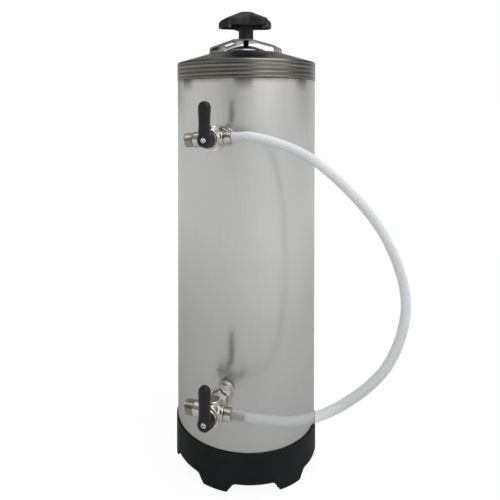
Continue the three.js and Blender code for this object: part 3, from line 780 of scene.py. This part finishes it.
def bridge_clamp():
    """The folded sheet bridge: rounded bends, a window and a small eye in each arm, legs that stand
    on the dome."""
    sheet = 2.0
    top = BRIDGE_HIGH.z
    half = BRIDGE_HIGH.y
    foot_x, foot_z = BRIDGE_HIGH.x, SKIRT_TOP + KNUCKLE_RISE
    bend_x, bend_z = foot_x - 1.2, 544.9
    flat = 12
    corners = [(flat, top), (bend_x, bend_z), (foot_x + 0.3, foot_z), (foot_x + 0.3 - sheet, foot_z),
               (bend_x - sheet, bend_z - 1.6), (flat - 0.4, top - sheet)]
    outline = [(-x, z) for x, z in reversed(corners)] + corners
    obj = to_object("bridge_clamp_detailed", rounded_slab(outline, 2.2, -half, half, 0))
    window = [(16.5, -10), (31, -10), (31, 10), (16.5, 10)]

    def prism(path, sign):
        ring = lambda z: [(sign * x, sign * y, z) for x, y in path]
        return capped([ring(bend_z - 4), ring(top + 3)])

    def disc(x, y, radius):
        return [(x + radius * math.cos(TURN * i / 24), y + radius * math.sin(TURN * i / 24))
                for i in range(24)]

    clearance = GAP + 0.1
    dome = [(r, z + clearance) for r, z in dome_line(SKIRT_R, SKIRT_TOP, 0)]
    cutters = [turned([(0, SKIRT_TOP), (SKIRT_R, SKIRT_TOP)] + dome, upright, 96), prism(disc(0, 0, 4.6), 1)]
    for sign in (-1, 1):
        cutters += [prism(rounded(window, 2.5, 5, closed=True), sign),
                    prism(disc(37.5, -15.5, 1.8), sign)]
    carve(obj, *cutters)
    soften_edges(obj, 0.35)
    stand_in("bridge_clamp", obj, 40)


KNOB_LOBES = 5
KNOB_TURN = math.radians(42)
KNOB_SKIRT = 572.3


def knob_radius(angle):
    """The star wheel's outline."""
    return 38 - 6.25 * (1 - math.cos(KNOB_LOBES * (angle - KNOB_TURN)))


def knob():
    """Star wheel: flat crown, sloping top, rounded rim, hollow underneath, and a hub."""
    sides = 180
    top = KNOB_HIGH.z
    crown_r = 10
    shoulder_z = KNOB_SKIRT + 9.5
    slope = (top - 0.7 - shoulder_z) / (38 - 2.5 - crown_r - 1)

    def cone(radius):
        return top - 0.7 - max(0, radius - crown_r - 1) * slope

    def ring(inset, drop, floor=None):
        """Points a given way in from the outline, below the sloping top or at a fixed height."""
        points = []
        for i in range(sides):
            angle = TURN * i / sides
            edge = knob_radius(angle)
            height = floor if floor is not None else cone(edge - 3) - drop
            points.append(upright(edge - inset, angle, height))
        return points

    def slope_ring(share):
        """Points between the crown and the rim, on the sloping top with a slightly hollow line."""
        points = []
        for i in range(sides):
            angle = TURN * i / sides
            radius = crown_r + 1 + (knob_radius(angle) - 3 - crown_r - 1) * share
            points.append(upright(radius, angle, cone(radius)))
        return points

    circle = lambda radius, z: [upright(radius, TURN * i / sides, z) for i in range(sides)]
    hub, hub_low = 10, BRIDGE_HIGH.z + 0.3
    rings = [circle(0, top), circle(crown_r - 0.5, top), circle(crown_r, top - 0.08),
             circle(crown_r + 0.5, top - 0.35)]
    rings += [slope_ring(i / 6) for i in range(7)]
    rings += [ring(2.0, 0.25), ring(1.0, 1.0), ring(0.3, 2.0), ring(0, 3.4)]
    rings += [ring(0, 0, KNOB_SKIRT + 1.6), ring(0.4, 0, KNOB_SKIRT + 0.5), ring(1.4, 0, KNOB_SKIRT)]
    rings += [ring(2.6, 0, KNOB_SKIRT + 0.2), ring(3.2, 0, KNOB_SKIRT + 1.2), ring(3.8, 5.0),
              circle(hub + 4, shoulder_z + 2), circle(hub + 0.9, shoulder_z + 1)]
    rings += [circle(hub, KNOB_SKIRT + 4), circle(hub, hub_low + 0.6), circle(hub - 0.5, hub_low)]
    rings += [circle(6.3, hub_low), circle(6.3, 573.3), circle(0, 573.3)]
    add("knob", loft(rings), 32)


def knob_insert():
    """Brass bush in the hub."""
    low, high = span("knob_insert")
    add("knob_insert", ring_of(4.3, 6, low.z, high.z, upright, 48))


# ---------------------------------------------------------------- valves

SHANK_OUT = -NUT_LOW.y + 0.3
BARREL_OUT = SHANK_OUT + 11.6
BARREL_R = 11
PORT_R = 8.33
PORT_SHOULDER_END = PORT_END - 11


def valve_body(side, z):
    """Forged cross body with its threaded port, hexagon shank and two closed bosses."""
    out = outward(z)
    port, hose = sideways(z, -1), sideways(z, 1)

    def up_down(radius, angle, height):
        x, y, level = upright(radius, angle, height)
        return (x, y - CROSS_OUT, z + level)

    barrel = rod(BARREL_R, BARREL_OUT - 1, BARREL_END, out, 96, 0.8)
    bosses = rod(8.5, -CLOSED_BOSS_END, CLOSED_BOSS_END, up_down, 96, 0.8)
    port_boss = rod(9, 0, PORT_SHOULDER_END, port, 96, 0.6)
    hose_boss = rod(8.5, 0, 14.2, hose, 96, 0.6)
    node_name = f"{side}_valve_body"
    obj = to_object(f"{node_name}_detailed", joined(barrel, bosses, port_boss, hose_boss))
    fuse(obj, 0.45, 3)
    shank = hexagon_bar(19, SHANK_OUT, BARREL_OUT + 1, out, 4.5, 0.8, TURN / 12)
    spigot = ring_of(4.5, 6.5, SPIGOT_END, SHANK_OUT + 1, out)
    cut = thread(PORT_R, 0.85, 1.337, PORT_SHOULDER_END - 0.5, PORT_END - 0.1, 4.5, port, 72)
    bore = rod(4.5, -2, PORT_END + 2, port, 48, 0.1)
    cavity = rod(9, CROSS_OUT - 9, BARREL_END + 2, out, 64, 0.1)
    tail_pocket = rod(6.6, 8, 16, hose, 48, 0.1)
    carve(obj, cavity, bore, tail_pocket)
    extra = to_object("extra", joined(shank, spigot, cut))
    merge(obj, extra)
    stand_in(node_name, obj, 30)


def merge(obj, other):
    """Adds another object's mesh to an object and removes the other."""
    bm = bmesh.new()
    bm.from_mesh(obj.data)
    bm.from_mesh(other.data)
    bm.to_mesh(obj.data)
    bm.free()
    bpy.data.objects.remove(other)


def back_nut(side, z):
    """Chamfered hexagon nut against the tank's socket."""
    shape = hexagon_bar(NUT_FLATS, -NUT_HIGH.y, -NUT_LOW.y, outward(z), 6.9, 1.0, TURN / 12)
    add(f"{side}_back_nut", shape, 25)


def tank_socket(side, z):
    """Welded boss with a rippled bead of weld where it meets the tank."""
    out = outward(z)
    boss = SOCKET_HIGH.x
    corners = [(6.9, -SOCKET_HIGH.y), (8, -SOCKET_HIGH.y), (8, TANK_R + 0.4), (boss, TANK_R + 0.4),
               (boss, -SOCKET_LOW.y), (6.9, -SOCKET_LOW.y)]
    tube = turned(rounded(corners, 0.4, 3, closed=True), out, 64, wrap=True)
    ripples = 40
    sides = ripples * 4
    rings = []
    for j in range(8):
        around = TURN * j / 8
        ring = []
        for i in range(sides):
            angle = TURN * i / sides
            thick = 1.15 + 0.12 * math.cos(ripples * angle)
            x, y, height = out(boss + thick * math.cos(around), angle, 0)
            on_tank = math.sqrt(TANK_R ** 2 - x * x)
            ring.append((x, -on_tank - 0.3 - thick * math.sin(around), height))
        rings.append(ring)
    add(f"{side}_tank_socket", joined(tube, loft(rings, wrap=True)))


def simple_turned_pieces(side, z):
    """Seals, seats and bonnet, which mostly sit inside."""
    out = outward(z)
    low, high = span("lower_socket_seal")
    add(f"{side}_socket_seal", ring_of(6.9, high.x, -high.y, -low.y, out, 64, 0.4))
    for name, sign in (("port_seat", -1), ("hose_seat", 1)):
        add(f"{side}_{name}", ring_of(4.5, 6.3, 7.6, 10.9, sideways(z, sign), 48, 0.4))
    low, high = span("lower_stem_seal")
    add(f"{side}_stem_seal", ring_of(3.5, high.x, -high.y, -low.y, out, 48, 0.3))
    add(f"{side}_bonnet", bonnet_shape(out), 30)


def bonnet_shape(out):
    """Screwed bonnet with a bevelled flange."""
    face, flange = -BONNET_LOW.y, BONNET_HIGH.x
    corners = [(3.5, 146), (5.3, 145.4), (8.7, 145.4), (8.7, BARREL_END + 0.3),
               (flange, BARREL_END + 0.3), (flange, face - 0.8), (flange - 0.8, face),
               (5.3, face), (5.3, BARREL_END), (3.5, BARREL_END)]
    return turned(rounded(corners, 0.25, 2, closed=True), out, 64, wrap=True)


def valve_ball(side, z):
    """Chromed ball with its bores and its driving slot."""
    steps = 32
    profile = [(BALL_R * math.sin(math.pi * i / steps), CROSS_OUT - BALL_R * math.cos(math.pi * i / steps))
               for i in range(steps + 1)]
    obj = to_object(f"{side}_valve_ball_detailed", turned(profile, outward(z), 64))

    def up(radius, angle, height):
        x, y, level = upright(radius, angle, height)
        return (x, y - CROSS_OUT, z + level)

    floor = CROSS_OUT + BALL_R - 2.4
    slot = box_shape((-4.3, -CROSS_OUT - BALL_R - 1, z - 1.4), (4.3, -floor, z + 1.4))
    carve(obj, rod(4, -1, BALL_R + 2, up, 48, 0.1),
          rod(4, CROSS_OUT - BALL_R - 2, CROSS_OUT + 0.5, outward(z), 48, 0.1), slot)
    stand_in(f"{side}_valve_ball", obj)


def stem(side, z):
    """Stem with its tongue, flange, shaft and square."""
    low, high = span("lower_stem")
    flange = CROSS_OUT + BALL_R + 0.3
    corners = [(0, flange), (5, flange), (5, flange + 1.8), (3.2, flange + 1.8), (3.2, 154.5), (0, 154.5)]
    shaft = turned(rounded(corners, 0.25, 2), outward(z), 48)
    tongue = box_shape((-4, -flange - 0.5, z - 1.1), (4, high.y, z + 1.1))
    square = box_shape((-2.3, low.y, z - 2.3), (2.3, -154, z + 2.3))
    obj = to_object(f"{side}_stem_detailed", shaft)
    merge(obj, to_object("extra", joined(tongue, square)))
    stand_in(f"{side}_stem", obj)


def strainer(side, z):
    """Slotted tube inside the tank."""
    low, high = span("lower_strainer")
    inner, outer = high.x - 1, high.x
    corners = [(0, -high.y), (outer, -high.y), (outer, -low.y), (inner, -low.y), (inner, 2 - high.y),
               (0, 2 - high.y)]
    obj = to_object(f"{side}_strainer_detailed", turned(rounded(corners, 0.3, 2), outward(z), 64))
    slots = [box_shape((-11, -start - 1.4, z - 5.5), (11, -start, z + 5.5)) for start in (50, 60, 70)]
    carve(obj, *slots)
    stand_in(f"{side}_strainer", obj)


def lever(side, z):
    """Moulded lever: a flared hub that runs into a blade with bevelled edges and a round tip."""
    tip_r, foot_half, waist_half, waist_z = 6.8, 6.8, 6.1, 18
    tip_z = LEVER_REACH - tip_r
    thick = 7
    back = LEVER_FACE - thick

    def blade_ring(inset, out):
        half = lambda height: foot_half + (waist_half - foot_half) * min(height / waist_z, 1)
        path = []
        steps = 12
        for i in range(steps):
            height = tip_z * i / steps
            wide = half(height) if height < waist_z else (
                waist_half + (tip_r - waist_half) * (height - waist_z) / (tip_z - waist_z))
            path.append((wide - inset, height))
        arc = [((tip_r - inset) * math.cos(math.pi * i / 24), tip_z + (tip_r - inset) * math.sin(math.pi * i / 24))
               for i in range(25)]
        mirrored = [(-x, height) for x, height in reversed(path)]
        return [(x, -out, z + height) for x, height in path + arc + mirrored]

    levels = [(0.8, back), (0.2, back + 0.3), (0, back + 0.9), (0, LEVER_FACE - 2.4),
              (0.3, LEVER_FACE - 1.7), (2.1, LEVER_FACE - 0.25), (2.8, LEVER_FACE)]
    blade = capped([blade_ring(inset, out) for inset, out in levels])
    hub_back = -BONNET_LOW.y + 0.3
    hub = turned(rounded([(0, hub_back), (9.7, hub_back), (9.7, hub_back + 3), (7.6, LEVER_FACE - 2),
                          (7.0, LEVER_FACE), (0, LEVER_FACE)], 1.0, 4), outward(z), 96)
    name = f"{side}_lever"
    obj = to_object(f"{name}_detailed", joined(blade, hub))
    fuse(obj, 0.42, 3)
    carve(obj, rod(3.6, 163.7, LEVER_FACE + 2, outward(z), 48, 0.1),
          box_shape((-2.6, -160.5, z - 2.6), (2.6, -hub_back + 2, z + 2.6)),
          rod(3.5, hub_back - 2, 154.8, outward(z), 48, 0.1))
    stand_in(name, obj, 40)


def lever_screw(side, z):
    """Socket head screw: rounded head with a hexagon socket."""
    out = outward(z)
    sides = 48
    face, head_out = -SCREW_LOW.y, 164
    head = SCREW_HIGH.x
    circle = lambda radius, reach: [out(radius, TURN * i / sides, reach) for i in range(sides)]

    def hexagon(radius, reach):
        points = []
        for i in range(sides):
            angle = TURN * i / sides
            off = (angle + TURN / 12) % (TURN / 6) - TURN / 12
            points.append(out(radius * math.cos(TURN / 12) / math.cos(off), angle, reach))
        return points

    rings = [circle(0, -SCREW_HIGH.y), circle(1.3, -SCREW_HIGH.y), circle(1.3, head_out),
             circle(head, head_out), circle(head, face - 0.7), circle(head - 0.2, face - 0.2),
             circle(head - 0.7, face), circle(2.3, face), hexagon(2.1, face - 0.15),
             hexagon(2.0, face - 0.3), hexagon(2.0, face - 2.3), circle(0, face - 2.8)]
    add(f"{side}_lever_screw", loft(rings), 30)


def hose_tail(side, z):
    """Plain shoulder and barbs, with a bore."""
    body_end = 14.5
    bore, neck, barb = 2.4, 3.5, 3.9
    corners = [(bore, 12.3), (6.3, 12.3), (6.3, body_end), (7.5, body_end), (7.5, TAIL_SHOULDER_END),
               (neck, TAIL_SHOULDER_END), (barb, 29), (neck - 0.1, 29.2), (barb, 34), (neck - 0.2, 34.4),
               (neck - 0.4, TAIL_HIGH.x), (bore, TAIL_HIGH.x)]
    shape = turned(rounded(corners, 0.3, 3, closed=True), sideways(z, 1), 64, wrap=True)
    add(f"{side}_hose_tail", shape, 30)


def roll_fixed_pieces(side, z):
    """Turns a valve's fixed pieces on its own axis, as far as it is turned on the tank."""
    centre = AXIS + Vector((0, 0, z)) * MM
    turn = Matrix.Rotation(-VALVE_ROLL[side], 4, "Y")
    moved = Matrix.Translation(centre) @ turn @ Matrix.Translation(-centre)
    for name in ("strainer", "tank_socket", "socket_seal", "back_nut", "valve_body", "port_seat",
                 "hose_seat", "bonnet", "stem_seal", "hose_tail"):
        bpy.data.objects[f"{side}_{name}_detailed"].data.transform(moved)


# ---------------------------------------------------------------- hose


def hose_route():
    """The line of the hose, from the upper valve round its bow to the lower one."""
    def swing(x):
        past = max(0, x - 40)
        return -CROSS_OUT + 0.42 * past * past / (past + 45)

    def over_barbs(side):
        roll = VALVE_ROLL[side]
        reaches = [TAIL_SHOULDER_END + 0.3 + past for past in (0, 9, 20)]
        return [(reach * math.cos(roll), VALVES[side] + reach * math.sin(roll)) for reach in reaches]

    bow = [(97, 416), (146, 375), (187.8, 316), (206, 247), (188, 183), (145, 142), (97, VALVES["lower"])]
    flat = over_barbs("upper") + bow + over_barbs("lower")[::-1]
    return [Vector((x, swing(x), z)) for x, z in flat]


def along(route, steps):
    """Points evenly spread over a smooth curve through the route, each with its direction."""
    padded = [2 * route[0] - route[1], *route, 2 * route[-1] - route[-2]]
    fine = []
    for a, b, c, d in zip(padded, padded[1:], padded[2:], padded[3:]):
        knots = [0.0]
        for first, second in ((a, b), (b, c), (c, d)):
            knots.append(knots[-1] + math.sqrt((second - first).length))
        t0, t1, t2, t3 = knots
        for i in range(24):
            t = t1 + (t2 - t1) * i / 24
            p1 = a.lerp(b, (t - t0) / (t1 - t0))
            p2 = b.lerp(c, (t - t1) / (t2 - t1))
            p3 = c.lerp(d, (t - t2) / (t3 - t2))
            q1 = p1.lerp(p2, (t - t0) / (t2 - t0))
            q2 = p2.lerp(p3, (t - t1) / (t3 - t1))
            fine.append(q1.lerp(q2, (t - t1) / (t2 - t1)))
    fine.append(route[-1])
    lengths = [0.0]
    for a, b in zip(fine, fine[1:]):
        lengths.append(lengths[-1] + (b - a).length)
    result, k = [], 0
    for step in range(steps + 1):
        target = lengths[-1] * step / steps
        while k < len(fine) - 2 and lengths[k + 1] < target:
            k += 1
        share = (target - lengths[k]) / (lengths[k + 1] - lengths[k])
        result.append((fine[k].lerp(fine[k + 1], share), (fine[k + 1] - fine[k]).normalized(), target))
    return result, lengths[-1]


def bypass_hose():
    """Tube along its route, stretched a little over the barbs at both ends."""
    stations, length = along(hose_route(), 260)
    sides = 40

    def ring(centre, across, other, radius):
        return [tuple(centre + radius * (math.cos(TURN * i / sides) * across
                                         + math.sin(TURN * i / sides) * other)) for i in range(sides)]

    outer, inner = [], []
    across = Vector((0, 0, 1))
    for centre, direction, travelled in stations:
        across = (across - across.dot(direction) * direction).normalized()
        other = direction.cross(across)
        from_end = min(travelled, length - travelled)
        stretch = 0.35 * max(0, min(1, (14 - from_end) / 4))
        outer.append(ring(centre, across, other, HOSE_R + stretch))
        inner.append(ring(centre, across, other, HOSE_R - 1.3 + stretch * 0.5))
    add("bypass_hose", loft(outer + inner[::-1], wrap=True))


# ---------------------------------------------------------------- assembly

tank_shell()
top_dome()
bottom_dome()
base_boot()
lid()
lid_gasket()
lid_stud()
bridge_clamp()
knob()
knob_insert()
for side, z in VALVES.items():
    valve_body(side, z)
    back_nut(side, z)
    tank_socket(side, z)
    simple_turned_pieces(side, z)
    valve_ball(side, z)
    stem(side, z)
    strainer(side, z)
    lever(side, z)
    lever_screw(side, z)
    hose_tail(side, z)
    roll_fixed_pieces(side, z)
bypass_hose()
for name, obj in frame["nodes"].items():
    obj.data.materials.clear()
    obj.data.materials.append(MATERIALS[SLOTS[name]])

# ---------------------------------------------------------------- studio


def ramp(tree, value, levels):
    """A grey level that follows a value through (value, level) pairs, smoothly."""
    made = node(tree, "ShaderNodeValToRGB")
    made.color_ramp.interpolation = "EASE"
    stops = made.color_ramp.elements
    while len(stops) < len(levels):
        stops.new(0.5)
    for stop, (position, level) in zip(stops, levels):
        stop.position = position
        stop.color = (level, level, level * 0.985, 1)
    tree.links.new(value, made.inputs["Fac"])
    return made.outputs["Color"]


def studio_world():
    """Soft studio round the object: pale panels with dimmer gaps between them, dim overhead.
    Angles run from the camera's side, positive to the right as the camera sees the tank."""
    panels = [(-180, 0.75), (-148, 0.38), (-105, 0.73), (-60, 0.76), (-20, 0.44), (33, 1.10),
              (70, 0.80), (112, 0.48), (150, 0.70), (180, 0.75)]
    world = bpy.data.worlds.new("studio")
    bpy.context.scene.world = world
    world.use_nodes = True
    tree = world.node_tree
    background = tree.nodes["Background"]
    coordinates = node(tree, "ShaderNodeTexCoord")
    parts = node(tree, "ShaderNodeSeparateXYZ")
    tree.links.new(coordinates.outputs["Generated"], parts.inputs["Vector"])
    angle = math_node(tree, "ARCTAN2", parts.outputs["Y"], parts.outputs["X"])
    turned_angle = math_node(tree, "SUBTRACT", angle, CAMERA_ANGLE)
    share = math_node(tree, "FRACT", math_node(tree, "ADD", math_node(
        tree, "DIVIDE", turned_angle, TURN), 1.5))
    walls = ramp(tree, share, [((degrees + 180) / 360, level) for degrees, level in panels])
    overhead = ramp(tree, parts.outputs["Z"], [(0.06, 1.0), (0.22, 0.44), (0.38, 0.34), (0.74, 0.36),
                                               (0.97, 1.3)])
    dimmed = node(tree, "ShaderNodeVectorMath", operation="MULTIPLY")
    tree.links.new(walls, dimmed.inputs[0])
    tree.links.new(overhead, dimmed.inputs[1])
    scaled = node(tree, "ShaderNodeVectorMath", operation="SCALE")
    tree.links.new(dimmed.outputs["Vector"], scaled.inputs[0])
    scaled.inputs["Scale"].default_value = ROOM
    seen = node(tree, "ShaderNodeLightPath")
    even = blend_colours(tree, seen.outputs["Is Diffuse Ray"], scaled.outputs["Vector"], EVEN_ROOM)
    colour = blend_colours(tree, seen.outputs["Is Camera Ray"], even, (1, 1, 1))
    tree.links.new(colour, background.inputs["Color"])


def floor():
    """A large pale floor, nearly white to the camera, with painted shade that makes it a little darker round the
    object.
    """
    reach = 60000
    points = [(-reach, -reach, 0), (reach, -reach, 0), (reach, reach, 0), (-reach, reach, 0)]
    obj = to_object("floor", (points, [(0, 1, 2, 3)]))
    material, tree, shader = start_material("pale_floor", 0.0, 0.2)
    away = node(tree, "ShaderNodeVectorMath", operation="LENGTH")
    tree.links.new(place_vector(tree, (1, 1, 1)), away.inputs[0])
    speckle = noise(tree, place_vector(tree, (40, 40, 40)))
    pale = blend_colours(tree, speckle, (0.82, 0.82, 0.82), (0.86, 0.86, 0.86))
    # Painted shadow: the floor's colour darkens towards the object, as in its shade.
    painted_shade_near_object = remap(tree, away.outputs["Value"], 1, 0, 0.05, 2.1)
    tree.links.new(blend_colours(tree, painted_shade_near_object, pale, PAINTED_FLOOR_SHADE), shader.inputs["Base Color"])
    tree.links.new(remap(tree, speckle, 0.6, 0.8), shader.inputs["Roughness"])
    glow = node(tree, "ShaderNodeEmission")
    glow.inputs["Strength"].default_value = 1.09
    seen = node(tree, "ShaderNodeLightPath")
    mix = node(tree, "ShaderNodeMixShader")
    tree.links.new(math_node(tree, "MULTIPLY", seen.outputs["Is Camera Ray"], 0.86), mix.inputs["Fac"])
    tree.links.new(shader.outputs["BSDF"], mix.inputs[1])
    tree.links.new(glow.outputs["Emission"], mix.inputs[2])
    tree.links.new(mix.outputs["Shader"], tree.nodes["Material Output"].inputs["Surface"])
    obj.data.materials.append(material)
    obj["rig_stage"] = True


def softbox(name, position, size, power, aim=(0, 0, 300)):
    """A square area light aimed at the object, placed in millimetres from the tank's axis."""
    light = bpy.data.lights.new(name, "AREA")
    light.shape = "SQUARE"
    light.size = size * MM
    light.energy = power
    obj = bpy.data.objects.new(name, light)
    bpy.context.scene.collection.objects.link(obj)
    obj.location = AXIS + Vector(position) * MM
    towards = AXIS + Vector(aim) * MM - obj.location
    obj.rotation_mode = "QUATERNION"
    obj.rotation_quaternion = towards.to_track_quat("-Z", "Y")
    obj.visible_camera = False


def camera():
    """The photograph's viewpoint: level with the top of the tank, its frame shifted down."""
    data = bpy.data.cameras.new("camera")
    data.sensor_width = 36
    data.lens = 38.013
    obj = bpy.data.objects.new("camera", data)
    bpy.context.scene.collection.objects.link(obj)
    obj.location = AXIS + CAMERA_AT * MM
    obj.rotation_euler = (math.radians(90 - 0.97), 0, math.radians(18.66))
    bpy.context.scene.camera = obj
    # The shift belongs to this viewpoint only, so it drops out when the camera is moved elsewhere.
    for channel, shift in (("shift_x", 0.0601), ("shift_y", -0.2727)):
        setattr(data, channel, shift)
        driver = data.driver_add(channel).driver
        driver.type = "SCRIPTED"
        where = driver.variables.new()
        where.name = "x"
        where.type = "TRANSFORMS"
        where.targets[0].id = obj
        where.targets[0].transform_type = "LOC_X"
        driver.expression = f"{shift} if abs(x - {obj.location.x:.6f}) < 0.001 else 0"


studio_world()
floor()
camera()
softbox("key", (900, -500, 1500), 1500, 14)
bpy.context.scene.view_settings.view_transform = "Standard"

corners = {"cad": cad_bounds, "visual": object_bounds()}
{name: [list(corner) for corner in pair] for name, pair in corners.items()}
